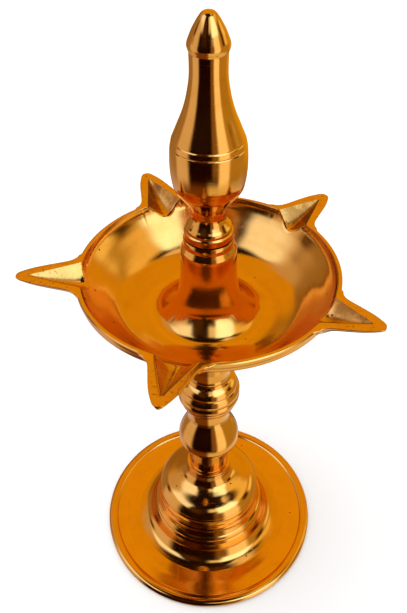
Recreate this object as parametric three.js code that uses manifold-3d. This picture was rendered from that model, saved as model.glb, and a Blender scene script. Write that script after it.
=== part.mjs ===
// A standing five-wick oil lamp in turned and polished cast brass.
// Millimetres, +Z up, foot on z = 0. The lamp is a stack of castings on one upright
// turning axis, screwed together by threaded studs, so it comes apart from the top down.

import * as THREE from 'three';
import { mergeVertices } from 'three/addons/utils/BufferGeometryUtils.js';
import Module from 'manifold-3d';

const wasm = await Module();
wasm.setup();

// The origin is the middle of the plan outline that the five spouts reach, so the turning
// axis stands a little to one side of it.
const AXIS = { x: 4.72, y: 0.95 };

// Gap between pieces that touch, and between a stud's crests and its socket.
const GAP = 0.3;

// Where the castings meet, from the table up.
const FOOT_TOP = 40.6;
const STEM_TOP = 79.5;
const SEAT_TOP = 125.5;
const POST_TOP = 160.5;
const LAMP_TOP = 228.7;

// Studs: crest radius, thread pitch, and the heights that each one spans.
const STUDS = {
  foot_stud: { radius: 4, pitch: 1.25, bottom: 18.5, top: 52 },
  stem_stud: { radius: 4, pitch: 1.25, bottom: 68, top: 91 },
  bowl_stud: { radius: 4, pitch: 1.25, bottom: 113.5, top: 142 },
  finial_stud: { radius: 3, pitch: 1, bottom: 151, top: 171 },
};
const THREAD_DEPTH = 0.62;
const THREAD_STEPS = 8;
const DRILL_POINT = 1.6;

// Corners nearer together than this become one.
const MERGE = 0.02;

// Foot: a rolled rim, a shallow flange and a bell, hollow from below.
const FOOT_RADIUS = 47;
const FOOT_REST_INNER = 43.4;
const FLANGE_TOP = 1.7;
const FLANGE_UNDER = 0.5;
const BELL_RADIUS = 21.9;
const CROWN_UNDER = 29.5;

// Nut and washer that clamp the foot to its stud.
const WASHER = { radius: 8.5, thickness: 1.5 };
const NUT = { acrossFlats: 13, thickness: 6.5 };

// Lower stem: a tapering collar, a bead with an undercut lip, and a neck.
const STEM = { collar: 8.5, bead: 12.3, waist: 7.8, neck: 8.4 };

// Ribbed knop: a ball cut into rounded ribs.
const BALL = { radius: 12.1, height: 87, ribPitch: 4, ribDepth: 0.55, ribs: 4 };
const KNOP = { foot: 9.2, neck: 8, seat: 13.4 };

// Bowl: a wide dish with a shallow floor and a steep wall, a rim band, five spouts and a post.
const RIM = { outer: 43.5, inner: 42.1, top: 147.5 };
const FLOOR_TOP = 128.8;
const POST_RADIUS = 9.1;
const SPOUT = {
  tipRise: 1, rootHalf: 9.2, keelShare: 0.75, keelLeast: 0.6,
  grooveDepth: 4.6, grooveHalf: 5.9, grooveShort: 4.4,
};

// Half of a spout's cross-section and half of its channel's, from the middle out: share of the
// half width, and share of the depth. The keel's sides are nearly straight, the channel's full.
const KEEL = [[0, 1], [0.45, 0.71], [0.8, 0.33], [1, 0]];
const CHANNEL = [[0, 1], [0.6, 0.76], [0.95, 0.34], [1, 0]];

// The spouts were cut and filed by hand, so no two are quite alike.
const SPOUTS = [
  { azimuth: 43.8, tip: 60.9 },
  { azimuth: 113.4, tip: 62.4 },
  { azimuth: 184.9, tip: 62.4 },
  { azimuth: 257.2, tip: 60.8 },
  { azimuth: 330.6, tip: 60.2 },
];

// Finial: a ringed barrel, a waist, a bulb, and a long throat under a pointed tip.
const FINIAL = { ring: 7.8, waist: 5.3, bulb: 11.4, throat: 5.3, shoulder: 5.85 };

// Facets round a large and a small turned piece.
const FINE_TURN = 40;
const TURN = 26;

const BRASS = { color: 0xd08a1e, roughness: 0.16, metalness: 1 };
const STEEL = { color: 0x9a9a98, roughness: 0.38, metalness: 1 };

// Outline strokes: a straight one keeps its points, a round one is a smooth curve through them.
const points = (list) => list.map(([radius, height]) => new THREE.Vector2(radius, height));
const straight = (...list) => points(list);
const round = (steps, ...list) => new THREE.SplineCurve(points(list)).getPoints(steps);

// Joins strokes into one outline, leaving out the points that two strokes share.
function outline(...strokes) {
  const joined = [];
  for (const point of strokes.flat()) {
    const last = joined.at(-1);
    if (!last || last.distanceTo(point) > 1e-3) joined.push(point);
  }
  return joined;
}

// A solid as manifold-3d wants it, from any closed geometry.
function solid(geometry) {
  const bare = geometry.clone();
  bare.deleteAttribute('normal');
  bare.deleteAttribute('uv');
  const merged = mergeVertices(bare, 1e-4);
  const index = Array.from(merged.index.array);
  const kept = [];
  for (let i = 0; i < index.length; i += 3) {
    const [a, b, c] = index.slice(i, i + 3);
    if (a !== b && b !== c && c !== a) kept.push(a, b, c);
  }
  return new wasm.Manifold(new wasm.Mesh({
    numProp: 3,
    vertProperties: merged.attributes.position.array,
    triVerts: new Uint32Array(kept),
  }));
}

// A geometry with flat normals, from a solid.
function geometryOf(body) {
  const mesh = body.getMesh();
  const geometry = new THREE.BufferGeometry();
  geometry.setAttribute('position', new THREE.BufferAttribute(mesh.vertProperties, 3));
  geometry.setIndex(new THREE.BufferAttribute(mesh.triVerts, 1));
  geometry.computeVertexNormals();
  return geometry;
}

// A solid turned about the upright axis. The outline runs up the outside.
function turned(profile, segments = TURN) {
  const geometry = new THREE.LatheGeometry(profile, segments);
  geometry.rotateX(Math.PI / 2);
  return solid(geometry);
}

// A solid through a row of rings with equal point counts, closed by a fan at each end.
function lofted(rings) {
  const count = rings[0].length;
  const positions = rings.flat().flatMap((p) => [p.x, p.y, p.z]);
  const faces = [];
  for (let ring = 0; ring < rings.length - 1; ring += 1) {
    for (let i = 0; i < count; i += 1) {
      const a = ring * count + i;
      const b = ring * count + ((i + 1) % count);
      faces.push(a, b, b + count, a, b + count, a + count);
    }
  }
  const last = (rings.length - 1) * count;
  for (let i = 1; i < count - 1; i += 1) {
    faces.push(0, i + 1, i, last, last + i, last + i + 1);
  }
  const geometry = new THREE.BufferGeometry();
  geometry.setAttribute('position', new THREE.Float32BufferAttribute(positions, 3));
  geometry.setIndex(faces);
  return solid(geometry);
}

// A blind socket's outline for a stud, from its mouth to its drill point or the other way.
function socket(stud, mouth, floor) {
  const radius = stud.radius + GAP;
  const point = floor > mouth ? floor + DRILL_POINT : floor - DRILL_POINT;
  return { radius, mouth: [radius, mouth], floor: [radius, floor], point: [0, point] };
}

// A threaded rod: a helical crest and a helical root, trimmed to its length with bevelled ends.
function threadedRod({ radius, pitch, bottom, top }) {
  const root = radius - THREAD_DEPTH;
  const rows = 2 * Math.ceil((top - bottom) / pitch + 3);
  const start = bottom - 1.5 * pitch;
  const positions = [];
  for (let row = 0; row <= rows; row += 1) {
    const reach = row % 2 ? radius : root;
    for (let step = 0; step < THREAD_STEPS; step += 1) {
      const turn = step / THREAD_STEPS;
      const angle = 2 * Math.PI * turn;
      const height = start + (row / 2 + turn) * pitch;
      positions.push(reach * Math.cos(angle), reach * Math.sin(angle), height);
    }
  }
  // After one full turn a row has climbed a pitch, which is two rows up.
  const at = (row, step) => (step < THREAD_STEPS
    ? row * THREAD_STEPS + step
    : (row + 2) * THREAD_STEPS + step - THREAD_STEPS);
  const faces = [];
  for (let row = 0; row < rows - 2; row += 1) {
    for (let step = 0; step < THREAD_STEPS; step += 1) {
      faces.push(at(row, step), at(row, step + 1), at(row + 1, step + 1));
      faces.push(at(row, step), at(row + 1, step + 1), at(row + 1, step));
    }
  }
  const below = positions.length / 3;
  positions.push(0, 0, start - pitch, 0, 0, start + (rows / 2 + 1) * pitch);
  const ends = [[0, below], [rows - 2, below + 1]];
  for (const [row, centre] of ends) {
    const loop = [];
    for (let step = 0; step <= THREAD_STEPS; step += 1) loop.push(at(row, step));
    loop.push(at(row + 1, 0));
    for (let i = 0; i < loop.length; i += 1) {
      const next = loop[(i + 1) % loop.length];
      if (centre === below) faces.push(centre, next, loop[i]);
      else faces.push(centre, loop[i], next);
    }
  }
  const geometry = new THREE.BufferGeometry();
  geometry.setAttribute('position', new THREE.Float32BufferAttribute(positions, 3));
  geometry.setIndex(faces);
  const trim = turned(straight(
    [0, bottom], [root - 0.3, bottom], [radius + 0.3, bottom + 1],
    [radius + 0.3, top - 1], [root - 0.3, top], [0, top],
  ), 16);
  return solid(geometry).intersect(trim);
}

function foot() {
  const bore = STUDS.foot_stud.radius + GAP;
  const outside = outline(
    straight([FOOT_REST_INNER, 0], [46.5, 0]),
    round(5, [46.5, 0], [FOOT_RADIUS, 0.9], [46.4, 2.2], [44.8, 2.7], [43.3, 2.3]),
    straight([43.3, 2.3], [42.7, FLANGE_TOP]),
    round(3, [42.7, FLANGE_TOP], [37, 1.5], [32.2, FLANGE_TOP]),
    round(4, [32.2, FLANGE_TOP], [28.4, 3.1], [25.6, 6.4], [24.2, 10.4]),
    straight([24.2, 10.4], [23.5, 11.1]),
    round(4, [23.5, 11.1], [24.1, 12.3], [23.9, 13.7], [22.9, 14.8]),
    round(3, [22.9, 14.8], [BELL_RADIUS, 18.4], [BELL_RADIUS, 22]),
    round(9, [BELL_RADIUS, 22], [21.3, 25.6], [18.6, 29], [13.4, 31.6], [10, 34.2], [8.8, 38.6]),
    straight([8.8, 38.6], [9.2, 39.3], [9.2, FOOT_TOP]),
  );
  const inside = outline(
    straight([bore, FOOT_TOP], [bore, CROWN_UNDER], [10, CROWN_UNDER]),
    round(4, [10, CROWN_UNDER], [15.4, 27.7], [19, 24.2], [19.8, 18.4]),
    round(4, [19.8, 18.4], [21.6, 12], [23.6, 6.2], [28.6, 1.2]),
    straight([28.6, 1.2], [31, FLANGE_UNDER], [FOOT_REST_INNER - 0.5, FLANGE_UNDER]),
    straight([FOOT_REST_INNER, 0]),
  );
  return turned(outline(outside, inside), FINE_TURN);
}

// A ring with a hole, between two heights.
function ring(inner, outer, bottom, top, segments = TURN) {
  const loop = straight([inner, bottom], [outer, bottom], [outer, top], [inner, top], [inner, bottom]);
  return turned(loop, segments);
}

function footWasher() {
  const top = CROWN_UNDER - GAP;
  return ring(STUDS.foot_stud.radius + GAP, WASHER.radius, top - WASHER.thickness, top);
}

function footNut() {
  const top = CROWN_UNDER - 2 * GAP - WASHER.thickness;
  const bottom = top - NUT.thickness;
  const corner = NUT.acrossFlats / Math.sqrt(3);
  const bevel = 0.7;
  const hexagon = turned(straight([0, bottom], [corner, bottom], [corner, top], [0, top]), 6);
  const rounded = turned(straight(
    [0, bottom], [corner - bevel, bottom], [corner + 0.1, bottom + bevel],
    [corner + 0.1, top - bevel], [corner - bevel, top], [0, top],
  ));
  const bore = STUDS.foot_stud.radius + GAP;
  const hole = turned(straight([0, bottom - 1], [bore, bottom - 1], [bore, top + 1], [0, top + 1]));
  return hexagon.intersect(rounded).subtract(hole);
}

function lowerStem() {
  const bottom = FOOT_TOP + GAP;
  const low = socket(STUDS.foot_stud, bottom, STUDS.foot_stud.top + GAP);
  const high = socket(STUDS.stem_stud, STEM_TOP, STUDS.stem_stud.bottom - GAP);
  const { collar, bead, waist, neck } = STEM;
  return turned(outline(
    straight(low.point, low.floor, low.mouth, [collar - 0.7, bottom], [collar - 0.3, bottom + 0.5]),
    straight([collar - 0.3, bottom + 0.5], [collar, 54.6], [9.4, 55.6], [10.4, 56]),
    round(10, [10.4, 56], [11.9, 57.3], [bead, 59.6], [11.8, 63], [10.2, 67], [8.4, 70.6], [waist, 73.2]),
    straight([waist, 73.2], [neck - 0.1, 74], [neck, STEM_TOP - 0.4], [neck - 0.4, STEM_TOP]),
    straight(high.mouth, high.floor, high.point),
  ));
}

// The ball's outline, rib by rib: each rib swells to the ball and falls back to a groove.
// It starts at the lowest rib's crest, because the heel of the knop takes that rib's lower half.
function ribs() {
  const { radius, height, ribPitch, ribDepth, ribs: count } = BALL;
  const lowest = height - (count / 2) * ribPitch;
  const list = [];
  for (let step = 2; step <= count * 4; step += 1) {
    const z = lowest + (step / 4) * ribPitch;
    const ball = Math.sqrt(radius ** 2 - (z - height) ** 2);
    const groove = ribDepth * (1 - Math.abs(Math.sin(Math.PI * (step / 4))));
    list.push([ball - groove, z]);
  }
  return straight(...list);
}

function ribbedKnop() {
  const bottom = STEM_TOP + GAP;
  const low = socket(STUDS.stem_stud, bottom, STUDS.stem_stud.top + GAP);
  const high = socket(STUDS.bowl_stud, SEAT_TOP, STUDS.bowl_stud.bottom - GAP);
  const { foot: heel, neck, seat } = KNOP;
  return turned(outline(
    straight(low.point, low.floor, low.mouth, [heel - 0.6, bottom], [heel, bottom + 0.5]),
    ribs(),
    round(3, [neck - 0.1, 96.2], [neck + 0.2, 97.4], [neck, 99], [neck, 102]),
    round(8, [neck, 102], [neck - 0.3, 108], [8.4, 115], [10.4, 120], [12.6, 122.6]),
    straight([12.6, 122.6], [seat, 123.2], [seat, 124.8], [seat - 0.6, SEAT_TOP]),
    straight(high.mouth, high.floor, high.point),
  ));
}

// Inside of the dish, from the post's neck down its flared foot and out to the rim.
function dishInside() {
  return outline(
    round(9, [RIM.inner, RIM.top], [41.5, 144.9], [39.6, 142.2], [36.6, 138.9], [33.2, 135.4],
      [30, 132.8], [26, 131], [22, 129.7], [19, FLOOR_TOP]),
    round(7, [19, FLOOR_TOP], [15.6, 129.5], [12.6, 132], [10.7, 135.2], [9.7, 140],
      [9.3, 146], [POST_RADIUS, 154]),
  );
}

// Space above the dish, as a solid to cut with.
function dishSpace() {
  const lid = RIM.top + 8;
  const loop = outline(
    dishInside(),
    straight([POST_RADIUS, lid], [RIM.inner, lid], [RIM.inner, RIM.top]),
  );
  return turned(loop.reverse(), FINE_TURN);
}

// A whole cross-section at one reach, flat on top.
function crossSection(half, reach, halfWidth, top, depth) {
  const left = half.slice(1).reverse().map(([across, down]) => [-across, down]);
  return [...left, ...half].map(([across, down]) => new THREE.Vector3(
    reach, across * halfWidth, top - down * depth,
  ));
}

// How high a spout's lip stands: level with the rim, rising to the tip.
function lipHeight(reach, tip) {
  const along = Math.max(0, (reach - RIM.outer) / (tip - RIM.outer));
  return RIM.top + SPOUT.tipRise * along;
}

// A spout's outside: wide and deep where it springs from the rim, with a blunt tip. Each
// station is a share of the way from the rim to the tip, and the half width there.
function spoutHull({ azimuth, tip }) {
  const stations = [
    [-0.28, 12.6], [-0.06, 10.8], [0, SPOUT.rootHalf], [0.06, 8.2], [0.12, 7.5], [0.22, 6.85], [0.35, 6.15],
    [0.48, 5.45], [0.6, 4.75], [0.7, 4.1], [0.8, 3.3], [0.88, 2.55], [0.94, 1.95], [0.98, 1.3], [1, 0.7],
  ];
  const rings = stations.map(([along, halfWidth]) => {
    const reach = THREE.MathUtils.lerp(RIM.outer, tip, along);
    const depth = SPOUT.keelLeast + SPOUT.keelShare * Math.min(halfWidth, SPOUT.rootHalf);
    return crossSection(KEEL, reach, halfWidth, lipHeight(reach, tip), depth);
  });
  return lofted(rings).rotate([0, 0, azimuth]);
}

// The channel that a wick lies in, running out from the dish and closing before the tip.
function spoutGroove({ azimuth, tip }) {
  const above = 2;
  const end = tip - SPOUT.grooveShort;
  const rings = [1.4, 1.05, 0.72, 0.4, 0.15, 0].map((along) => {
    const reach = THREE.MathUtils.lerp(end, RIM.inner, along);
    const depth = SPOUT.grooveDepth * Math.min(1, along) ** 0.8 + 0.15;
    const lip = lipHeight(reach, tip);
    const cut = crossSection(CHANNEL, reach, SPOUT.grooveHalf * along + 0.25, lip, depth);
    cut[0].z = lip + above;
    cut[6].z = lip + above;
    return cut;
  });
  return lofted(rings).rotate([0, 0, azimuth]);
}

function oilBowl() {
  const bottom = SEAT_TOP + GAP;
  const low = socket(STUDS.bowl_stud, bottom, STUDS.bowl_stud.top + GAP);
  const high = socket(STUDS.finial_stud, POST_TOP, STUDS.finial_stud.bottom - GAP);
  const dish = turned(outline(
    straight(low.point, low.floor, low.mouth, [17.4, bottom]),
    round(7, [17.4, bottom], [24, 127.6], [29.5, 130.4], [34, 134.6], [38.5, 139.4], [42, 143.2]),
    straight([43, 143.9], [43.1, 145.4], [RIM.outer, 145.8], [RIM.outer, RIM.top - 0.4], [43.1, RIM.top]),
    dishInside(),
    straight([POST_RADIUS, 156.2], [8.3, 157.7], [8.1, 158], [8.1, POST_TOP]),
    straight(high.mouth, high.floor, high.point),
  ), FINE_TURN);
  let bowl = dish;
  for (const spout of SPOUTS) bowl = bowl.add(spoutHull(spout));
  bowl = bowl.subtract(dishSpace());
  for (const spout of SPOUTS) bowl = bowl.subtract(spoutGroove(spout));
  return bowl.simplify(MERGE);
}

function finial() {
  const bottom = POST_TOP + GAP;
  const low = socket(STUDS.finial_stud, bottom, STUDS.finial_stud.top + GAP);
  const { ring: step, waist, bulb, throat, shoulder } = FINIAL;
  return turned(outline(
    straight(low.point, low.floor, low.mouth, [step, bottom], [step, 163], [step - 0.5, 163.4]),
    round(4, [step - 0.5, 163.4], [7.2, 164.6], [6.4, 165.8], [5.5, 167.4], [waist, 169]),
    round(8, [waist, 169], [6.1, 172.2], [10, 178], [10.9, 180.8], [11.35, 184.6],
      [bulb, 188], [11.2, 191.6], [10.7, 194.2]),
    round(6, [10.7, 194.2], [9.2, 197.8], [7.3, 202.6], [6.1, 207.1], [throat, 212.4], [throat, 218.6]),
    straight([throat, 218.6], [shoulder - 0.2, 219.5], [shoulder, 220.4], [shoulder - 0.2, 221.3]),
    straight([4.4, 224.3], [3.1, 226.6]),
    straight([2.2, 227.9], [1.5, 228.5], [0, LAMP_TOP]),
  ));
}

const MAKERS = {
  foot: [foot, BRASS],
  foot_washer: [footWasher, STEEL],
  foot_nut: [footNut, STEEL],
  foot_stud: [() => threadedRod(STUDS.foot_stud), STEEL],
  lower_stem: [lowerStem, BRASS],
  stem_stud: [() => threadedRod(STUDS.stem_stud), STEEL],
  ribbed_knop: [ribbedKnop, BRASS],
  bowl_stud: [() => threadedRod(STUDS.bowl_stud), STEEL],
  oil_bowl: [oilBowl, BRASS],
  finial_stud: [() => threadedRod(STUDS.finial_stud), STEEL],
  finial: [finial, BRASS],
};

const lamp = new THREE.Group();
lamp.position.set(AXIS.x, AXIS.y, 0);
for (const [name, [make, finish]] of Object.entries(MAKERS)) {
  const mesh = new THREE.Mesh(geometryOf(make()), new THREE.MeshStandardMaterial(finish));
  mesh.name = name;
  lamp.add(mesh);
}

export default lamp;
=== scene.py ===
"""A standing five-wick oil lamp in turned and polished brass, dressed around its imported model.

The lamp is a stack of castings on one upright axis, screwed together by threaded studs. Sizes
are in millimetres while a piece is being shaped, and the finished meshes are in metres.
"""

import logging
import math
from dataclasses import dataclass, field
from enum import Enum
from typing import Any, Sequence

import bmesh
import bpy
import numpy as np
from mathutils import Matrix, Vector, noise


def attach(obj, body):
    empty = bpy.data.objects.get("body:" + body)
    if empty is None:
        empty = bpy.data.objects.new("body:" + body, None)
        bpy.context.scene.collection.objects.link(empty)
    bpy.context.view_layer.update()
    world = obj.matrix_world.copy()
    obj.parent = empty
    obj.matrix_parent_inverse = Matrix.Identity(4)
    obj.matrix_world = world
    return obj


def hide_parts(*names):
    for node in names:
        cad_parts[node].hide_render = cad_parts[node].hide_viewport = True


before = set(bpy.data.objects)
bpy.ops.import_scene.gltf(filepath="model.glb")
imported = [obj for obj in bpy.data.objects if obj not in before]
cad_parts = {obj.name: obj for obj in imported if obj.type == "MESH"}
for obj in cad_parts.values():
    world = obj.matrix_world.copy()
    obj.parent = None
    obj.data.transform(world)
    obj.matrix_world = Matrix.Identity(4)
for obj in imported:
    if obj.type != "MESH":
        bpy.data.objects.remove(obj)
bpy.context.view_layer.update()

log = logging.getLogger("oil_lamp")

MM = 0.001
AXIS = Vector((4.72, 0.95, 0.0))
GAP = 0.3

Point = tuple[float, float]
Colour = tuple[float, float, float, float]
Socket = bpy.types.NodeSocket


class Body(str, Enum):
    """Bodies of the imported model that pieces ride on."""

    BASE = "base"
    FOOT_STUD = "foot_stud"
    LOWER_STEM = "lower_stem"
    STEM_STUD = "stem_stud"
    RIBBED_KNOP = "ribbed_knop"
    BOWL_STUD = "bowl_stud"
    OIL_BOWL = "oil_bowl"
    FINIAL_STUD = "finial_stud"
    FINIAL = "finial"


class Slot(str, Enum):
    """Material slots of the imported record."""

    BRASS = "polished_brass"
    STEEL = "zinc_steel"


def catmull_rom(points: Sequence[Point], steps: int) -> list[Point]:
    """Runs a smooth curve through points, evenly in the curve's own parameter.

    Args:
        points: What the curve passes through, from end to end.
        steps: How many stretches the curve is cut into.

    Returns:
        The curve's points, both ends among them.
    """
    last = len(points) - 1
    curve = []
    for step in range(steps + 1):
        place = last * step / steps
        at = min(int(place), last - 1)
        t = place - at
        run = [points[max(at - 1, 0)], points[at], points[at + 1], points[min(at + 2, last)]]
        spot = []
        for a, b, c, d in zip(*run):
            rise, fall = (c - a) * 0.5, (d - b) * 0.5
            cubic, square = 2 * b - 2 * c + rise + fall, 3 * c - 3 * b - 2 * rise - fall
            spot.append(cubic * t**3 + square * t**2 + rise * t + b)
        curve.append((spot[0], spot[1]))
    return curve


@dataclass
class Outline:
    """A turned piece's outline: radius, height and fillet of each corner, in millimetres."""

    corners: list[tuple[float, float, float]] = field(default_factory=list)

    def to(self, *points: Point, fillet: float = 0.0) -> "Outline":
        """Runs straight through points.

        Args:
            points: Radius and height of each corner.
            fillet: How far each corner is rounded.

        Returns:
            The outline itself, so that strokes chain.
        """
        for radius, height in points:
            if not self.corners or math.dist(self.corners[-1][:2], (radius, height)) > 1e-3:
                self.corners.append((radius, height, fillet))
        return self

    def sweep(self, *points: Point, steps: int = 24) -> "Outline":
        """Runs along a smooth curve through points.

        Args:
            points: What the curve passes through.
            steps: How many stretches the curve is cut into.

        Returns:
            The outline itself, so that strokes chain.
        """
        return self.to(*catmull_rom(points, steps))

    def score(self, height: float, width: float, depth: float) -> "Outline":
        """Cuts a fine turned line into an outside that runs upwards.

        Args:
            height: Where the line is.
            width: How wide it is.
            depth: How deep it is.

        Returns:
            The outline itself, so that strokes chain.
        """
        low, high = height - width / 2, height + width / 2
        before = max(i for i, c in enumerate(self.corners[:-1]) if c[1] <= low < self.corners[i + 1][1])
        after = min(i for i in range(before, len(self.corners)) if self.corners[i][1] > high)

        def surface(at: float) -> float:
            """Finds the radius of the outside in the stretch that is cut.

            Args:
                at: The height.

            Returns:
                The radius there.
            """
            run = self.corners[before : after + 1]
            for (r0, z0, _), (r1, z1, _) in zip(run, run[1:]):
                if z0 <= at <= z1:
                    return r0 + (r1 - r0) * (at - z0) / max(z1 - z0, 1e-9)
            return self.corners[before][0]

        shares = ((0.0, 0.0), (0.22, 0.35), (0.5, 1.0), (0.78, 0.35), (1.0, 0.0))
        cut = [(surface(low + width * s) - depth * d, low + width * s, 0.0) for s, d in shares]
        self.corners[before + 1 : after] = cut
        return self


def new_wire(outline: Outline, closed: bool) -> bmesh.types.BMesh:
    """Lays an outline out as a wire, with its fillets.

    Args:
        outline: The outline to lay out.
        closed: Whether its last corner joins its first.

    Returns:
        A mesh with the wire in the XZ plane, in millimetres.
    """
    bm = bmesh.new()
    verts = [bm.verts.new((radius, 0.0, height)) for radius, height, _ in outline.corners]
    for pair in zip(verts, verts[1:] + ([verts[0]] if closed else [])):
        bm.edges.new(pair)
    for fillet in sorted({c[2] for c in outline.corners} - {0.0}):
        rounded = [v for v, c in zip(verts, outline.corners) if c[2] == fillet]
        bmesh.ops.bevel(
            bm, geom=rounded, offset=fillet, offset_type="OFFSET", segments=4, profile=0.5,
            affect="VERTICES", material=-1,
        )
    return bm


def spin_sector(bm: bmesh.types.BMesh, angle: float, steps: int, rise: float = 0.0) -> None:
    """Sweeps a wire about the upright axis through part of a turn.

    Args:
        bm: The wire, which becomes the swept surface.
        angle: How far it is swept, in radians.
        steps: How many stretches the sweep is cut into.
        rise: How far it climbs in each of them.
    """
    bmesh.ops.spin(
        bm, geom=bm.verts[:] + bm.edges[:], cent=(0, 0, 0), axis=(0, 0, 1), dvec=(0, 0, rise),
        angle=angle, steps=steps, use_merge=False, use_normal_flip=False, use_duplicate=False,
    )


def repeat(bm: bmesh.types.BMesh, count: int, turn: float = 0.0, rise: float = 0.0) -> None:
    """Sets copies of a surface on end, each turned and raised from the one before, and joins them.

    Args:
        bm: The surface.
        count: How many there are in the end.
        turn: How far each is turned from the one before, in radians.
        rise: How far each is raised from the one before.
    """
    first = bm.verts[:] + bm.edges[:] + bm.faces[:]
    for copy in range(1, count):
        geom = bmesh.ops.duplicate(bm, geom=first)["geom"]
        verts = [part for part in geom if isinstance(part, bmesh.types.BMVert)]
        place = Matrix.Translation((0, 0, rise * copy)) @ Matrix.Rotation(turn * copy, 4, "Z")
        bmesh.ops.transform(bm, matrix=place, verts=verts)
    bmesh.ops.remove_doubles(bm, verts=bm.verts[:], dist=1e-3)


def spin_round(bm: bmesh.types.BMesh, steps: int, sectors: int = 16) -> bmesh.types.BMesh:
    """Turns a wire about the upright axis into a closed surface.

    Args:
        bm: The wire, which becomes the surface.
        steps: How many stretches the turn is cut into, a multiple of the sectors.
        sectors: How many equal parts the turn is made in.

    Returns:
        The same mesh.
    """
    spin_sector(bm, 2 * math.pi / sectors, steps // sectors)
    repeat(bm, sectors, turn=2 * math.pi / sectors)
    bmesh.ops.recalc_face_normals(bm, faces=bm.faces[:])
    return bm


def turned(outline: Outline, steps: int = 192, closed: bool = False) -> bmesh.types.BMesh:
    """Turns an outline into a solid of revolution.

    Args:
        outline: The piece's outline.
        steps: How many stretches the turn is cut into.
        closed: Whether the outline is a loop, as a ring's is.

    Returns:
        The solid's mesh, in millimetres about the axis.
    """
    return spin_round(new_wire(outline, closed), steps)


def socket_below(stud: "ThreadedStud", mouth: float) -> list[Point]:
    """Outline of a blind hole up into a casting, from its drill point to its mouth.

    Args:
        stud: The stud that the hole takes.
        mouth: Height of the casting's lower face.

    Returns:
        Its corners, radius and height.
    """
    radius, floor = stud.radius + GAP, stud.top + GAP
    return [(0.0, floor + stud.drill_point), (radius, floor), (radius, mouth)]


def socket_above(stud: "ThreadedStud", mouth: float) -> list[Point]:
    """Outline of a blind hole down into a casting, from its mouth to its drill point.

    Args:
        stud: The stud that the hole takes.
        mouth: Height of the casting's upper face.

    Returns:
        Its corners, radius and height.
    """
    radius, floor = stud.radius + GAP, stud.bottom - GAP
    return [(radius, mouth), (radius, floor), (0.0, floor - stud.drill_point)]


class Bench:
    """Adds shader nodes to one tree and wires them."""

    def __init__(self, tree: bpy.types.NodeTree) -> None:
        """Starts on a tree, emptied first."""
        self.tree = tree
        tree.nodes.clear()

    def add(self, kind: str, inputs: dict[str | int, Any] | None = None, **settings: Any) -> bpy.types.Node:
        """Adds a node.

        Args:
            kind: The node's type name.
            inputs: What its sockets take, a value or another node's output.
            settings: The node's own settings.

        Returns:
            The new node.
        """
        node = self.tree.nodes.new(kind)
        for name, value in settings.items():
            setattr(node, name, value)
        for name, value in (inputs or {}).items():
            if isinstance(value, Socket):
                self.tree.links.new(value, node.inputs[name])
            else:
                node.inputs[name].default_value = value
        return node

    def math(self, operation: str, *values: Any, clamp: bool = False) -> Socket:
        """Adds a Math node.

        Args:
            operation: What it works out.
            values: Its operands, numbers or outputs.
            clamp: Whether its result is kept between 0 and 1.

        Returns:
            Its output.
        """
        inputs = dict(enumerate(values))
        return self.add("ShaderNodeMath", inputs, operation=operation, use_clamp=clamp).outputs[0]

    def ramp(
        self, value: Socket, low: float, high: float, to_low: float = 0.0, to_high: float = 1.0
    ) -> Socket:
        """Adds a smooth step.

        Args:
            value: What is stepped.
            low: Where the step starts.
            high: Where it ends.
            to_low: The result before it starts.
            to_high: The result after it ends.

        Returns:
            The stepped value.
        """
        inputs = {"Value": value, "From Min": low, "From Max": high, "To Min": to_low, "To Max": to_high}
        return self.add("ShaderNodeMapRange", inputs, interpolation_type="SMOOTHSTEP").outputs["Result"]

    def mix(self, share: Any, first: Any, second: Any) -> Socket:
        """Mixes two colours.

        Args:
            share: How much of the second.
            first: A colour or an output.
            second: A colour or an output.

        Returns:
            The mixed colour.
        """
        node = self.add("ShaderNodeMix", data_type="RGBA")
        for at, value in ((0, share), (6, first), (7, second)):
            if isinstance(value, Socket):
                self.tree.links.new(value, node.inputs[at])
            else:
                node.inputs[at].default_value = value
        return node.outputs[2]

    def noise(self, place: Socket, scale: float, detail: float, roughness: float) -> Socket:
        """Adds a cloudy pattern.

        Args:
            place: Where the surface is.
            scale: How fine the pattern is, in cycles a metre.
            detail: How many finer patterns it carries.
            roughness: How strong those are.

        Returns:
            The pattern, 0 to 1.
        """
        inputs = {"Vector": place, "Scale": scale, "Detail": detail, "Roughness": roughness}
        return self.add("ShaderNodeTexNoise", inputs).outputs[0]

    def laid(self, place: Socket, turn: Sequence[float], stretch: Sequence[float]) -> Socket:
        """Turns and stretches a pattern.

        Args:
            place: Where the surface is.
            turn: The turn about each axis, in radians.
            stretch: How fine the pattern is along each axis, in cycles a metre.

        Returns:
            The place that the pattern reads.
        """
        inputs = {"Vector": place, "Rotation": turn, "Scale": stretch}
        return self.add("ShaderNodeMapping", inputs, vector_type="POINT").outputs["Vector"]

    def bump(
        self, height: Socket, distance: float, strength: float, normal: Socket | None = None
    ) -> Socket:
        """Adds a relief to the surface's normal.

        Args:
            height: The relief, 0 to 1.
            distance: How deep 1 is, in metres.
            strength: How much of it counts.
            normal: The relief under this one, if there is one.

        Returns:
            The normal.
        """
        inputs: dict[str | int, Any] = {"Height": height, "Distance": distance, "Strength": strength}
        if normal is not None:
            inputs["Normal"] = normal
        return self.add("ShaderNodeBump", inputs).outputs["Normal"]


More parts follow.
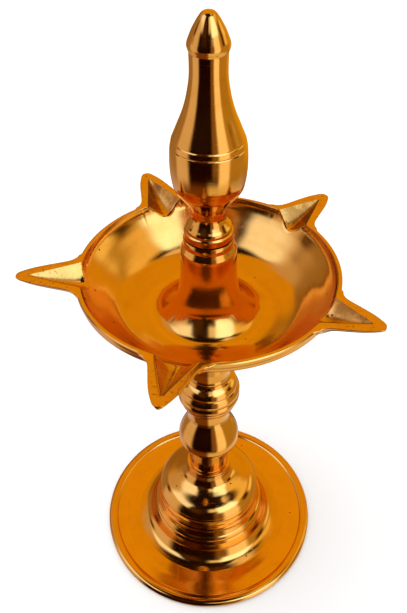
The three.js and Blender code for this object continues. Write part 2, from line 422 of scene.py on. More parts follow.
@dataclass(frozen=True)
class TurnedBrass:
    """Cast brass, turned on a lathe and buffed to a mirror.

    Its marks follow the lathe: fine rings that fade in and out, a slow unevenness left by the
    buff, stray scratches, and the odd pit where the casting was porous.
    """

    name: str = "turned_brass"
    colour: Colour = (0.84, 0.41, 0.065, 1.0)
    deep: Colour = (0.76, 0.34, 0.042, 1.0)
    tarnish: Colour = (0.16, 0.045, 0.01, 1.0)
    smoke: Colour = (0.30, 0.095, 0.012, 1.0)
    roughness: float = 0.10
    roughness_swing: float = 0.05
    scratch_roughness: float = 0.1
    pit_roughness: float = 0.35
    fine_rings: float = 1500.0
    broad_rings: float = 330.0
    ring_depth: float = 0.000004
    broad_depth: float = 3.0
    buff_scale: float = 46.0
    buff_depth: float = 0.00008
    cloud_scale: float = 120.0
    scratch_depth: float = 0.000004
    pit_share: float = 0.12
    pit_scale: float = 420.0
    pit_depth: float = 0.00012
    filed: bool = False

    def material(self) -> bpy.types.Material:
        """Makes the material.

        Returns:
            It.
        """
        made = bpy.data.materials.new(self.name)
        made.use_nodes = True
        bench = Bench(made.node_tree)
        place = bench.add("ShaderNodeTexCoord").outputs["Object"]
        centred = bench.add(
            "ShaderNodeMapping", {"Vector": place, "Location": tuple(-AXIS * MM)}, vector_type="POINT"
        ).outputs["Vector"]
        fine = self.rings(bench, centred, self.fine_rings, 1.1, 3.0)
        broad = self.rings(bench, centred, self.broad_rings, 0.8, 1.0)
        buff = bench.noise(centred, self.buff_scale, 1.5, 0.45)
        cloud = bench.noise(centred, self.cloud_scale, 5.0, 0.6)
        scratch = self.scratches(bench, centred)
        pits = self.pits(bench, centred)

        shade = bench.ramp(bench.math("ADD", cloud, bench.math("MULTIPLY", broad, 0.5)), 0.62, 1.2)
        base = bench.mix(shade, self.colour, self.deep)
        base = bench.mix(pits, base, self.tarnish)
        rough = bench.math("ADD", self.roughness, bench.math("MULTIPLY", shade, self.roughness_swing))
        rough = bench.math("ADD", rough, bench.math("MULTIPLY", scratch, self.scratch_roughness))
        rough = bench.math("ADD", rough, bench.math("MULTIPLY", pits, self.pit_roughness), clamp=True)
        normal = bench.bump(buff, self.buff_depth, 1.0)
        normal = bench.bump(broad, self.ring_depth * self.broad_depth, 1.0, normal)
        normal = bench.bump(fine, self.ring_depth, 1.0, normal)
        normal = bench.bump(scratch, -self.scratch_depth, 0.8, normal)
        normal = bench.bump(pits, -self.pit_depth, 0.9, normal)
        if self.filed:
            base, rough = self.smoked(bench, centred, base, rough)
            base, rough, normal = self.file_marks(bench, centred, base, rough, normal)
        surface = bench.add(
            "ShaderNodeBsdfPrincipled",
            {"Base Color": base, "Roughness": rough, "Metallic": 1.0, "Normal": normal},
        )
        bench.add("ShaderNodeOutputMaterial", {"Surface": surface.outputs[0]})
        return made

    def rings(self, bench: Bench, place: Socket, density: float, drift: float, detail: float) -> Socket:
        """Turning marks that ring the axis and fade in and out round a turn.

        Args:
            bench: Where the nodes go.
            place: The surface's position, from the axis.
            density: How close the rings are, in cycles a metre.
            drift: How much they change in a turn.
            detail: How many finer patterns they carry.

        Returns:
            The pattern, 0 to 1.
        """
        x, y, z = bench.add("ShaderNodeSeparateXYZ", {"Vector": place}).outputs
        squares = bench.math("MULTIPLY", x, x), bench.math("MULTIPLY", y, y)
        radius = bench.math("SQRT", bench.math("ADD", *squares))
        safe = bench.math("MAXIMUM", radius, 0.0005)
        across, along = bench.math("DIVIDE", x, safe), bench.math("DIVIDE", y, safe)
        spot = bench.add(
            "ShaderNodeCombineXYZ",
            {
                "X": bench.math("MULTIPLY", radius, density),
                "Y": bench.math("MULTIPLY", z, density),
                "Z": bench.math("MULTIPLY", across, drift),
            },
        ).outputs[0]
        inputs = {
            "Vector": spot, "W": bench.math("MULTIPLY", along, drift), "Scale": 1.0, "Detail": detail,
            "Roughness": 0.6,
        }
        return bench.add("ShaderNodeTexNoise", inputs, noise_dimensions="4D").outputs[0]

    def scratches(self, bench: Bench, place: Socket) -> Socket:
        """Fine stray scratches.

        Args:
            bench: Where the nodes go.
            place: The surface's position.

        Returns:
            1 in a scratch, 0 beside it.
        """
        found: Socket | None = None
        for turn, stretch in (((0.4, 0.2, 0.9), (2600, 60, 2600)), ((1.1, 0.7, 2.4), (60, 2100, 2100))):
            grain = bench.noise(bench.laid(place, turn, stretch), 1.0, 1.0, 0.5)
            line = bench.ramp(grain, 0.70, 0.76)
            found = line if found is None else bench.math("MAXIMUM", found, line)
        return found

    def pits(self, bench: Bench, place: Socket) -> Socket:
        """Small pores, in loose groups.

        Args:
            bench: Where the nodes go.
            place: The surface's position.

        Returns:
            1 in a pore, 0 beside it.
        """
        inputs = {"Vector": place, "Scale": self.pit_scale, "Randomness": 1.0}
        cells = bench.add("ShaderNodeTexVoronoi", inputs, feature="F1")
        dot = bench.ramp(cells.outputs["Distance"], 0.10, 0.17, 1.0, 0.0)
        group = bench.noise(place, 95.0, 1.0, 0.5)
        chosen = bench.add("ShaderNodeSeparateColor", {"Color": cells.outputs["Color"]}).outputs[0]
        rare = bench.math("LESS_THAN", chosen, self.pit_share)
        return bench.math("MULTIPLY", bench.math("MULTIPLY", dot, rare), bench.ramp(group, 0.52, 0.60))

    def smoked(self, bench: Bench, place: Socket, base: Socket, rough: Socket) -> tuple[Socket, Socket]:
        """Brown patches left by burnt oil where the mesh's attribute "soot" says so.

        Args:
            bench: Where the nodes go.
            place: The surface's position.
            base: Colour so far.
            rough: Roughness so far.

        Returns:
            Colour and roughness with the patches.
        """
        soot = bench.add("ShaderNodeAttribute", attribute_name="soot").outputs["Fac"]
        patches = bench.noise(place, 190.0, 4.0, 0.6)
        share = bench.math("MULTIPLY", soot, bench.ramp(patches, 0.36, 0.58, 0.35, 1.0))
        rough = bench.math("ADD", rough, bench.math("MULTIPLY", share, 0.12))
        return bench.mix(share, base, self.smoke), rough

    def file_marks(
        self, bench: Bench, place: Socket, base: Socket, rough: Socket, normal: Socket
    ) -> tuple[Socket, Socket, Socket]:
        """Coarser hand filing where the mesh's attribute "filed" says so.

        Args:
            bench: Where the nodes go.
            place: The surface's position.
            base: Colour so far.
            rough: Roughness so far.
            normal: Normal so far.

        Returns:
            Colour, roughness and normal with the filing.
        """
        filed = bench.add("ShaderNodeAttribute", attribute_name="filed").outputs["Fac"]
        grain = bench.noise(bench.laid(place, (0.0, 0.0, 0.35), (520, 2400, 900)), 1.0, 3.0, 0.65)
        lumps = bench.noise(place, 900.0, 3.0, 0.7)
        stain = bench.math("MULTIPLY", filed, bench.ramp(lumps, 0.56, 0.72))
        base = bench.mix(bench.math("MULTIPLY", stain, 0.8), base, self.tarnish)
        rough = bench.math("ADD", rough, bench.math("MULTIPLY", filed, 0.12), clamp=True)
        relief = bench.math("MULTIPLY", bench.math("ADD", grain, lumps), filed)
        return base, rough, bench.bump(relief, 0.00002, 1.0, normal)


@dataclass(frozen=True)
class ZincSteel:
    """Bright zinc plate on plain steel, faintly clouded."""

    name: str = "zinc_steel"
    colour: Colour = (0.52, 0.53, 0.52, 1.0)
    dull: Colour = (0.30, 0.31, 0.31, 1.0)
    roughness: float = 0.28

    def material(self) -> bpy.types.Material:
        """Makes the material.

        Returns:
            It.
        """
        made = bpy.data.materials.new(self.name)
        made.use_nodes = True
        bench = Bench(made.node_tree)
        place = bench.add("ShaderNodeTexCoord").outputs["Object"]
        cloud = bench.noise(place, 260.0, 4.0, 0.6)
        grain = bench.noise(place, 2600.0, 2.0, 0.6)
        shade = bench.ramp(cloud, 0.42, 0.66)
        rough = bench.math("ADD", self.roughness, bench.math("MULTIPLY", shade, 0.18))
        surface = bench.add(
            "ShaderNodeBsdfPrincipled",
            {"Base Color": bench.mix(shade, self.colour, self.dull), "Roughness": rough, "Metallic": 1.0,
             "Normal": bench.bump(grain, 0.00001, 0.6)},
        )
        bench.add("ShaderNodeOutputMaterial", {"Surface": surface.outputs[0]})
        return made


@dataclass
class Finishes:
    """The finishes that the lamp's pieces share."""

    brass: bpy.types.Material
    bowl_brass: bpy.types.Material
    cast: bpy.types.Material
    steel: bpy.types.Material

    @classmethod
    def mixed(cls) -> "Finishes":
        """Makes every finish once.

        Returns:
            All four.
        """
        bowl_brass = TurnedBrass(name="bowl_brass", roughness=0.12, pit_share=0.14, filed=True)
        return cls(
            brass=TurnedBrass().material(),
            bowl_brass=bowl_brass.material(),
            cast=TurnedBrass(
                name="rough_turned_brass", colour=(0.62, 0.27, 0.05, 1.0), deep=(0.36, 0.14, 0.03, 1.0),
                roughness=0.36, roughness_swing=0.12, ring_depth=0.00002, pit_share=0.5,
            ).material(),
            steel=ZincSteel().material(),
        )


def stand(
    bm: bmesh.types.BMesh,
    name: str,
    body: Body,
    node: str,
    finishes: Sequence[bpy.types.Material],
    crease: float = 32.0,
) -> bpy.types.Object:
    """Sets a finished mesh up as a piece of the lamp, in metres and on its body.

    Args:
        bm: The mesh in millimetres about the axis, which is used up.
        name: The piece's name.
        body: The body that it rides on.
        node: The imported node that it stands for.
        finishes: Its materials, in the order of its faces' numbers.
        crease: Edges sharper than this, in degrees, stay crisp.

    Returns:
        The piece.
    """
    bmesh.ops.translate(bm, verts=bm.verts[:], vec=AXIS)
    bmesh.ops.scale(bm, verts=bm.verts[:], vec=(MM, MM, MM))
    mesh = bpy.data.meshes.new(name)
    bm.to_mesh(mesh)
    bm.free()
    for finish in finishes:
        mesh.materials.append(finish)
    mesh.shade_smooth()
    mesh.set_sharp_from_angle(angle=math.radians(crease))
    piece = bpy.data.objects.new(name, mesh)
    bpy.context.scene.collection.objects.link(piece)
    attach(piece, body.value)
    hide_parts(node)
    return piece


@dataclass
class ThreadedStud:
    """A rod with a V thread from end to end, bevelled where it starts."""

    name: str
    node: str
    body: Body
    radius: float
    pitch: float
    bottom: float
    top: float
    depth: float = 0.62
    steps: int = 48
    drill_point: float = 1.6
    bevel: float = 0.3
    dimple: float = 0.08

    def thread(self) -> bmesh.types.BMesh:
        """Winds one pitch of the thread up the rod.

        Returns:
            The thread's open surface, reaching past both ends.
        """
        crest, root, p = self.radius, self.radius - self.depth, self.pitch
        outline = Outline().to((root, 0.0), (root + 0.04, 0.12 * p), (crest, 0.44 * p), (crest, 0.56 * p))
        outline.to((root + 0.04, 0.88 * p), (root, p))
        bm = new_wire(outline, closed=False)
        turns = math.ceil((self.top - self.bottom) / p) + 3
        bmesh.ops.translate(bm, verts=bm.verts[:], vec=(0, 0, self.bottom - 1.5 * p))
        spin_sector(bm, 2 * math.pi, self.steps, rise=p / self.steps)
        repeat(bm, turns, rise=p)
        return bm

    def shape(self) -> bmesh.types.BMesh:
        """Cuts the thread to length, bevels its starts and closes its ends.

        Returns:
            The stud's mesh.
        """
        bm = self.thread()
        for height, outer in ((self.bottom, False), (self.top, True)):
            bmesh.ops.bisect_plane(
                bm, geom=bm.verts[:] + bm.edges[:] + bm.faces[:], dist=1e-5, plane_co=(0, 0, height),
                plane_no=(0, 0, 1), clear_outer=outer, clear_inner=not outer,
            )
        tip = self.radius - self.depth - self.bevel
        for vert in bm.verts:
            reach = math.hypot(vert.co.x, vert.co.y)
            inset = min(vert.co.z - self.bottom, self.top - vert.co.z)
            limit = tip + inset * (self.depth + self.bevel)
            if reach > limit:
                vert.co.x *= limit / reach
                vert.co.y *= limit / reach
        bmesh.ops.remove_doubles(bm, verts=bm.verts[:], dist=1e-4)
        ends = [e for e in bm.edges if e.is_boundary]
        lids = bmesh.ops.holes_fill(bm, edges=ends, sides=0)["faces"]
        bmesh.ops.inset_region(bm, faces=lids, thickness=0.35, depth=-self.dimple, use_even_offset=True)
        bmesh.ops.recalc_face_normals(bm, faces=bm.faces[:])
        return bm

    def build(self, finishes: Finishes) -> bpy.types.Object:
        """Makes the stud in plated steel."""
        steel = [finishes.steel]
        return stand(self.shape(), self.name, self.body, self.node, steel, crease=24.0)


def metric_stud(place: str, body: Body, radius: float, bottom: float, top: float) -> ThreadedStud:
    """Picks a stud with the coarse metric pitch of its size.

    Args:
        place: Where it sits, as in its piece's name.
        body: The body that it is.
        radius: Its radius over the crests.
        bottom: Height of its lower end.
        top: Height of its upper end.

    Returns:
        The stud.
    """
    pitch = 1.25 if radius > 3.5 else 1.0
    return ThreadedStud(f"{place}_stud_rod", f"{place}_stud", body, radius, pitch, bottom, top)


@dataclass
class Studs:
    """The four studs, from the foot up."""

    foot: ThreadedStud = field(default_factory=lambda: metric_stud("foot", Body.FOOT_STUD, 4.0, 18.5, 52.0))
    stem: ThreadedStud = field(default_factory=lambda: metric_stud("stem", Body.STEM_STUD, 4.0, 68.0, 91.0))
    bowl: ThreadedStud = field(
        default_factory=lambda: metric_stud("bowl", Body.BOWL_STUD, 4.0, 113.5, 142.0)
    )
    finial: ThreadedStud = field(
        default_factory=lambda: metric_stud("finial", Body.FINIAL_STUD, 3.0, 151.0, 171.0)
    )

    def build(self, finishes: Finishes) -> list[bpy.types.Object]:
        """Makes all four."""
        return [stud.build(finishes) for stud in (self.foot, self.stem, self.bowl, self.finial)]


@dataclass
class Foot:
    """The hollow foot: a rolled rim, a shallow flange, and a bell with scored lines."""

    studs: Studs
    top: float = 40.6
    radius: float = 47.0
    rest_inner: float = 43.4
    crown_under: float = 29.5
    scored: tuple[float, ...] = (18.6, 22.0, 25.3)
    score_width: float = 0.9
    score_depth: float = 0.2
    steps: int = 240

    def outside(self) -> Outline:
        """Outline of the polished outside, from the table up.

        Returns:
            It.
        """
        return (
            Outline()
            .to((self.rest_inner, 0.0), (46.5, 0.0))
            .sweep((46.5, 0.0), (self.radius, 0.9), (46.4, 2.2), (44.8, 2.7), (43.3, 2.3), steps=22)
            .to((43.3, 2.3), (42.7, 1.7), fillet=0.12)
            .sweep((42.7, 1.7), (37.0, 1.5), (32.2, 1.7), steps=12)
            .sweep((32.2, 1.7), (28.4, 3.1), (25.6, 6.4), (24.2, 10.4), steps=22)
            .to((23.5, 11.1), fillet=0.15)
            .sweep((23.5, 11.1), (24.1, 12.3), (23.9, 13.7), (22.9, 14.8), steps=16)
            .sweep((22.9, 14.8), (21.9, 18.4), (21.9, 22.0), steps=14)
            .sweep(
                (21.9, 22.0), (21.3, 25.6), (18.6, 29.0), (13.4, 31.6), (10.0, 34.2), (8.8, 38.6), steps=48
            )
            .to((9.2, 39.3), fillet=0.15)
            .to((9.2, self.top), fillet=0.2)
        )

    def shape(self) -> bmesh.types.BMesh:
        """Turns the outside and the hollow as one ring, with the hollow in the second finish.

        Returns:
            The foot's mesh.
        """
        outline = self.outside()
        for height in self.scored:
            outline.score(height, self.score_width, self.score_depth)
        bore = self.studs.foot.radius + GAP
        outline.to((bore, self.top), (bore, self.crown_under), (10.0, self.crown_under))
        outline.sweep((10.0, self.crown_under), (15.4, 27.7), (19.0, 24.2), (19.8, 18.4), steps=16)
        outline.sweep((19.8, 18.4), (21.6, 12.0), (23.6, 6.2), (28.6, 1.2), steps=16)
        outline.to((31.0, 0.5), (42.9, 0.5), fillet=0.12)
        bm = turned(outline, self.steps, closed=True)
        for face in bm.faces:
            middle = face.calc_center_median()
            inward = face.normal.x * middle.x + face.normal.y * middle.y < 0
            hidden = (inward and face.normal.z < 0.5) or face.normal.z < -0.5
            within = math.hypot(middle.x, middle.y) < self.rest_inner
            face.material_index = int(hidden and within and middle.z < self.crown_under + 0.1)
        return bm

    def build(self, finishes: Finishes) -> list[bpy.types.Object]:
        """Makes the foot's casting."""
        both = [finishes.brass, finishes.cast]
        return [stand(self.shape(), "foot_casting", Body.BASE, "foot", both)]


@dataclass
class FootFixing:
    """The washer and nut that clamp the foot to its stud."""

    studs: Studs
    crown_under: float = 29.5
    washer_radius: float = 8.5
    washer_thickness: float = 1.5
    nut_flats: float = 13.0
    nut_thickness: float = 6.5

    def washer(self) -> bmesh.types.BMesh:
        """Turns the washer, with its edges eased.

        Returns:
            Its mesh.
        """
        bore, high = self.studs.foot.radius + GAP, self.crown_under - GAP
        low = high - self.washer_thickness
        corners = ((bore, low), (self.washer_radius, low), (self.washer_radius, high), (bore, high))
        return turned(Outline().to(*corners, fillet=0.18), 96, closed=True)

    def nut(self) -> bmesh.types.BMesh:
        """Turns a ring, then presses it to six flats with bevelled corners.

        Returns:
            The nut's mesh.
        """
        bore, high = self.studs.foot.radius + GAP, self.crown_under - 2 * GAP - self.washer_thickness
        low, flat = high - self.nut_thickness, self.nut_flats / 2
        corner = self.nut_flats / math.sqrt(3)
        outline = Outline().to((bore, low + 0.4), (bore + 0.4, low), (flat - 0.3, low), (corner, low))
        outline.to(*((corner, low + share * 0.6) for share in (0.5, 1.0, 1.6, 2.4)))
        outline.to(*((corner, high - share * 0.6) for share in (2.4, 1.6, 1.0, 0.5)))
        outline.to((corner, high), (flat - 0.3, high), (bore + 0.4, high), (bore, high - 0.4))
        bm = turned(outline, 120, closed=True)
        for vert in bm.verts:
            reach = math.hypot(vert.co.x, vert.co.y)
            if reach < flat - 0.2:
                continue
            turn = (math.atan2(vert.co.y, vert.co.x) + math.pi / 6) % (math.pi / 3) - math.pi / 6
            wanted = flat / math.cos(turn - math.copysign(math.pi / 6, turn)) if reach > flat else reach
            vert.co.x *= wanted / reach
            vert.co.y *= wanted / reach
            lowered = max(0.0, wanted - flat + 0.15) * 0.5
            vert.co.z = min(max(vert.co.z, low + lowered), high - lowered)
        return bm

    def build(self, finishes: Finishes) -> list[bpy.types.Object]:
        """Makes the washer and the nut.

        Args:
            finishes: The lamp's finishes.

        Returns:
            Both.
        """
        steel = [finishes.steel]
        return [
            stand(self.washer(), "foot_washer_ring", Body.BASE, "foot_washer", steel),
            stand(self.nut(), "foot_nut_hexagon", Body.BASE, "foot_nut", steel, crease=24.0),
        ]


@dataclass
class LowerStem:
    """The lower stem: a tapering collar, a bead with an undercut lip, and a neck."""

    studs: Studs
    bottom: float = 40.9
    top: float = 79.5
    collar: float = 8.5
    bead: float = 12.3
    waist: float = 7.8
    neck: float = 8.4

    def shape(self) -> bmesh.types.BMesh:
        """Turns the stem between its two blind sockets.

        Returns:
            Its mesh.
        """
        outline = Outline().to(*socket_below(self.studs.foot, self.bottom))
        outline.to((self.collar - 0.7, self.bottom), (self.collar - 0.3, self.bottom + 0.5), fillet=0.15)
        outline.to((self.collar - 0.15, 48.0), (self.collar, 54.6), (9.4, 55.6), (10.4, 56.0), fillet=0.25)
        outline.sweep(
            (10.4, 56.0), (11.9, 57.3), (self.bead, 59.6), (11.8, 63.0), (10.2, 67.0), (8.4, 70.6),
            (self.waist, 73.2), steps=72,
        )
        outline.to((self.neck - 0.1, 74.0), fillet=0.2)
        outline.to((self.neck, self.top - 0.4), (self.neck - 0.4, self.top), fillet=0.12)
        return turned(outline.to(*socket_above(self.studs.stem, self.top)))

    def build(self, finishes: Finishes) -> list[bpy.types.Object]:
        """Makes the stem's casting."""
        name, brass = "lower_stem_casting", [finishes.brass]
        return [stand(self.shape(), name, Body.LOWER_STEM, "lower_stem", brass)]


@dataclass
class RibbedKnop:
    """The knop: a ball cut into rounded ribs, a slim neck, and a seat for the bowl."""

    studs: Studs
    bottom: float = 79.8
    top: float = 125.5
    heel: float = 9.2
    neck: float = 8.0
    seat: float = 13.4
    ball: float = 12.1
    ball_height: float = 87.0
    rib_pitch: float = 4.0
    rib_depth: float = 0.55
    ribs: int = 4
    rib_steps: int = 24

    def rib_points(self) -> list[Point]:
        """Outline of the ribs, from the lowest one's crest up.

        Returns:
            Its corners, radius and height.
        """
        lowest = self.ball_height - self.ribs / 2 * self.rib_pitch
        points = []
        for step in range(self.rib_steps // 2, self.ribs * self.rib_steps + 1):
            height = lowest + step / self.rib_steps * self.rib_pitch
            round_off = math.sqrt(self.ball**2 - (height - self.ball_height) ** 2)
            groove = self.rib_depth * (1 - abs(math.sin(math.pi * step / self.rib_steps)) ** 0.9)
            points.append((round_off - groove, height))
        return points

    def shape(self) -> bmesh.types.BMesh:
        """Turns the knop between its two blind sockets.

        Returns:
            Its mesh.
        """
        outline = Outline().to(*socket_below(self.studs.stem, self.bottom))
        outline.to((self.heel - 0.6, self.bottom), (self.heel, self.bottom + 0.5), fillet=0.12)
        outline.to(*self.rib_points())
        neck = self.neck
        outline.sweep((neck - 0.1, 96.2), (neck + 0.2, 97.4), (neck, 99.0), (neck, 102.0), steps=12)
        outline.sweep(
            (neck, 102.0), (neck - 0.3, 108.0), (8.4, 115.0), (10.4, 120.0), (12.6, 122.6), steps=36
        )
        outline.to((self.seat, 123.2), (self.seat, 124.8), (self.seat - 0.6, self.top), fillet=0.2)
        return turned(outline.to(*socket_above(self.studs.bowl, self.top)))

    def build(self, finishes: Finishes) -> list[bpy.types.Object]:
        """Makes the knop's casting."""
        name, brass = "ribbed_knop_casting", [finishes.brass]
        return [stand(self.shape(), name, Body.RIBBED_KNOP, "ribbed_knop", brass)]


@dataclass(frozen=True)
class Spout:
    """One wick spout: where it points, how far it reaches, how its filing strays and how sooty it is."""

    azimuth: float
    tip: float
    stray: float
    soot: float


class Row(Enum):
    """Stretches of the bowl's outline that the spouts change."""

    PLAIN = 0
    OUTSIDE = 1
    EDGE = 2
    LIP = 3
    WALL = 4


@dataclass
class SpoutForm:
    """How one spout changes the bowl, sampled along upright planes through the turning axis."""

    spout: Spout
    rim_outer: float = 43.5
    rim_inner: float = 42.1
    rim_top: float = 147.5
    tip_rise: float = 1.0
    root_half: float = 9.2
    keel_share: float = 0.75
    keel_least: float = 0.6
    groove_depth: float = 4.75
    groove_short: float = 4.4
    groove_half: float = 5.9
    soft: float = 0.42
    lip_crown: float = 0.05
    stations: tuple[Point, ...] = (
        (-0.28, 12.6), (-0.06, 10.8), (0.0, 9.2), (0.06, 8.2), (0.12, 7.5), (0.22, 6.85), (0.35, 6.15),
        (0.48, 5.45), (0.6, 4.75), (0.7, 4.1), (0.8, 3.3), (0.88, 2.55), (0.94, 1.95), (0.98, 1.3),
        (1.0, 0.7),
    )

    def __post_init__(self) -> None:
        """Works out the spout's plan: half width by reach, and reach by bearing."""
        plan = np.array(catmull_rom(self.stations, 280))
        self.reaches = self.rim_outer + plan[:, 0] * (self.spout.tip - self.rim_outer)
        self.halves = plan[:, 1]
        bearing = np.degrees(np.arctan2(self.halves, self.reaches))[::-1]
        radius = np.hypot(self.halves, self.reaches)[::-1]
        nose_at = np.array([0.0, 0.3, 0.6])
        nose = self.spout.tip - np.array([0.0, 0.02, 0.1])
        keep = bearing > 0.68
        self.bearings = np.concatenate([nose_at, bearing[keep]])
        self.edges = np.concatenate([nose, radius[keep]])

    def along(self, reach: np.ndarray) -> np.ndarray:
        """Share of the way from the rim to the tip, below 0 inside the rim."""
        return (reach - self.rim_outer) / (self.spout.tip - self.rim_outer)

    def lip(self, reach: np.ndarray) -> np.ndarray:
        """Height of the lip at a reach."""
        return self.rim_top + self.tip_rise * np.clip(self.along(reach), 0, 1)

    def edge(self, bearing: float) -> float:
        """Reach of the spout's outline along a bearing, in degrees off its middle."""
        return float(np.interp(abs(bearing), self.bearings, self.edges))

    def keel(self, radii: np.ndarray, bearing: float) -> np.ndarray:
        """Height of the spout's underside along a bearing.

        Args:
            radii: Distances from the turning axis.
            bearing: Degrees off the spout's middle.

        Returns:
            A height for each distance, never falling.
        """
        off = math.radians(abs(bearing))
        reach, across = radii * math.cos(off), radii * math.sin(off)
        half = np.interp(reach, self.reaches, self.halves)
        share = np.clip(across / half, 0, 1)
        depth = self.keel_least + self.keel_share * np.minimum(half, self.root_half)
        return np.maximum.accumulate(self.lip(reach) - depth * (1 - share**1.4) ** 0.8)

    def channel(self, radii: np.ndarray, bearing: float) -> np.ndarray:
        """Depth of the wick's channel below the lip along a bearing.

        Args:
            radii: Distances from the turning axis.
            bearing: Degrees off the spout's middle.

        Returns:
            A depth for each distance, 0 outside the channel.
        """
        off = math.radians(abs(bearing))
        reach, across = radii * math.cos(off), radii * math.sin(off)
        end = self.spout.tip - self.groove_short
        along = (end - reach) / (end - self.rim_inner)
        half = np.maximum(self.groove_half * along + 0.25, 1e-6)
        share = np.clip(across / half, 0, 1)
        edge = math.sqrt(1 + self.soft**2)
        vee = (edge - np.sqrt(share**2 + self.soft**2)) / (edge - self.soft)
        depth = self.groove_depth * np.clip(along, 0, 1) ** 0.8
        return np.where(along > 0, depth * vee, 0.0)

    def channel_end(self, bearing: float, start: float) -> float:
        """How far out the wick's channel reaches along a bearing.

        Args:
            bearing: Degrees off the spout's middle.
            start: Distance from the turning axis where the search starts.

        Returns:
            The distance, or 0 where there is no channel.
        """
        grid = np.linspace(start, self.spout.tip, 500)
        open_at = grid[self.channel(grid, bearing) > 0.02]
        return float(open_at.max()) if len(open_at) else 0.0


def smooth_max(first: np.ndarray, second: np.ndarray, width: float) -> np.ndarray:
    """The larger of two, with the corner where they cross filled in.

    Args:
        first: Values.
        second: Values.
        width: How near each other the two are where the filling starts.

    Returns:
        A value for each pair.
    """
    share = np.clip(0.5 + 0.5 * (second - first) / width, 0, 1)
    return first * (1 - share) + second * share + width * share * (1 - share)


def clamped(value: float) -> float:
    """Keeps a value between 0 and 1."""
    return min(1.0, max(0.0, value))


def wander(bearing: float, density: float, stray: float) -> float:
    """How far handwork strays round the bowl.

    Args:
        bearing: The direction in degrees.
        density: How often it strays in a turn.
        stray: Which of many such rounds it is.

    Returns:
        -1 to 1, the same after a full turn.
    """
    turn = math.radians(bearing)
    return noise.noise(Vector((math.cos(turn) * density, math.sin(turn) * density, stray)))


